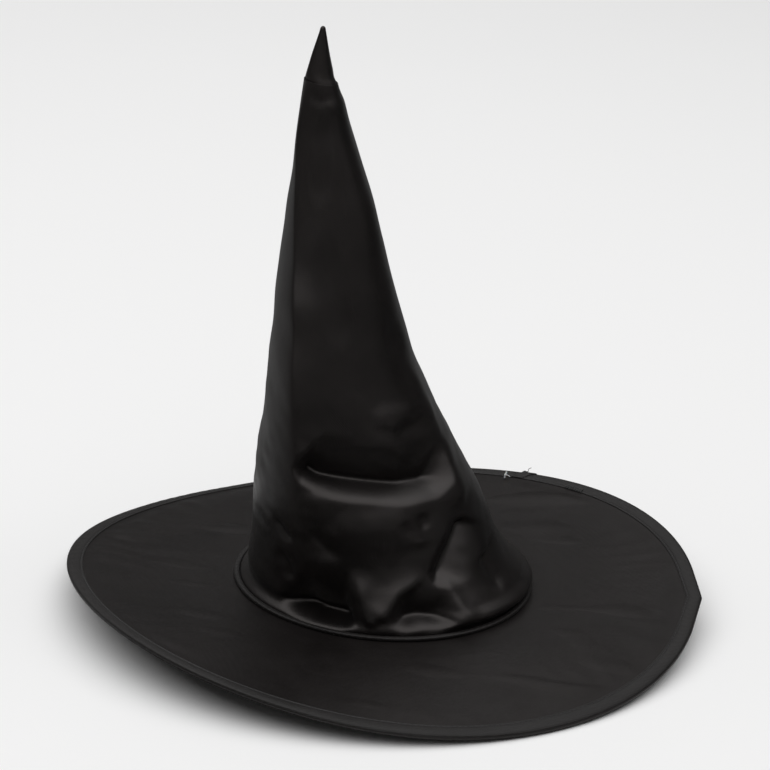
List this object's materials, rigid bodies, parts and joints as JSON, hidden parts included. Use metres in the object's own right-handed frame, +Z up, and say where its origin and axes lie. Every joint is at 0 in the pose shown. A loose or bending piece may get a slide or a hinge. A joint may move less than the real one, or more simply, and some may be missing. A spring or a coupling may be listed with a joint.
{
  "type": "witch hat",
  "caption": "Pointed cloth witch hat with a wide hooped brim and a soft leaning crown that bends and folds at its tip.",
  "frame": {"origin": "under the middle of the brim, on the surface that the brim rests on", "axes": "+X to the wearer's side that the crown leans away from, +Y to the back, +Z up along the hat"},
  "size_m": [0.3921, 0.3899, 0.362],
  "materials": {
    "satin": "satin",
    "binding": "satin",
    "nonwoven": "matte",
    "tape": "matte",
    "band": "matte",
    "thread": "satin",
    "label": "matte",
    "boning": "matte",
    "sleeve": "matte",
    "nylon": "gloss"
  },
  "bodies": {
    "brim": {"brim_interlining": "nonwoven", "brim_top_cloth": "satin", "brim_under_cloth": "satin", "brim_edge_binding": "binding", "brim_hoop": "boning", "hoop_sleeve": "sleeve", "binding_stitches": "thread", "hoop_bartack": "thread", "binding_lap_thread": "thread", "tag_pin": "nylon", "opening_tape": "tape", "crown_base_welt": "binding", "base_seam_stitches": "thread", "crown_lower_cloth": "satin", "crown_lower_lining": "nonwoven", "sweatband": "band", "sweatband_stitches": "thread", "size_label": "label", "lower_seam_stitches": "thread"},
    "crown": {"crown_upper_cloth": "satin", "crown_upper_lining": "nonwoven", "upper_seam_stitches": "thread"},
    "tip": {"crown_tip_cloth": "satin"}
  },
  "joints": [
    {"name": "crown_bend", "type": "hinge", "parent": "brim", "child": "crown", "pos_m": [-0.0332, 0, 0.1636], "axis": [0.4478, 0.8942, 0], "range_deg": [-40, 40]},
    {"name": "tip_bend", "type": "hinge", "parent": "crown", "child": "tip", "pos_m": [-0.0528, 0, 0.3276], "axis": [0.4478, 0.8942, 0], "range_deg": [-35, 35]}
  ]
}
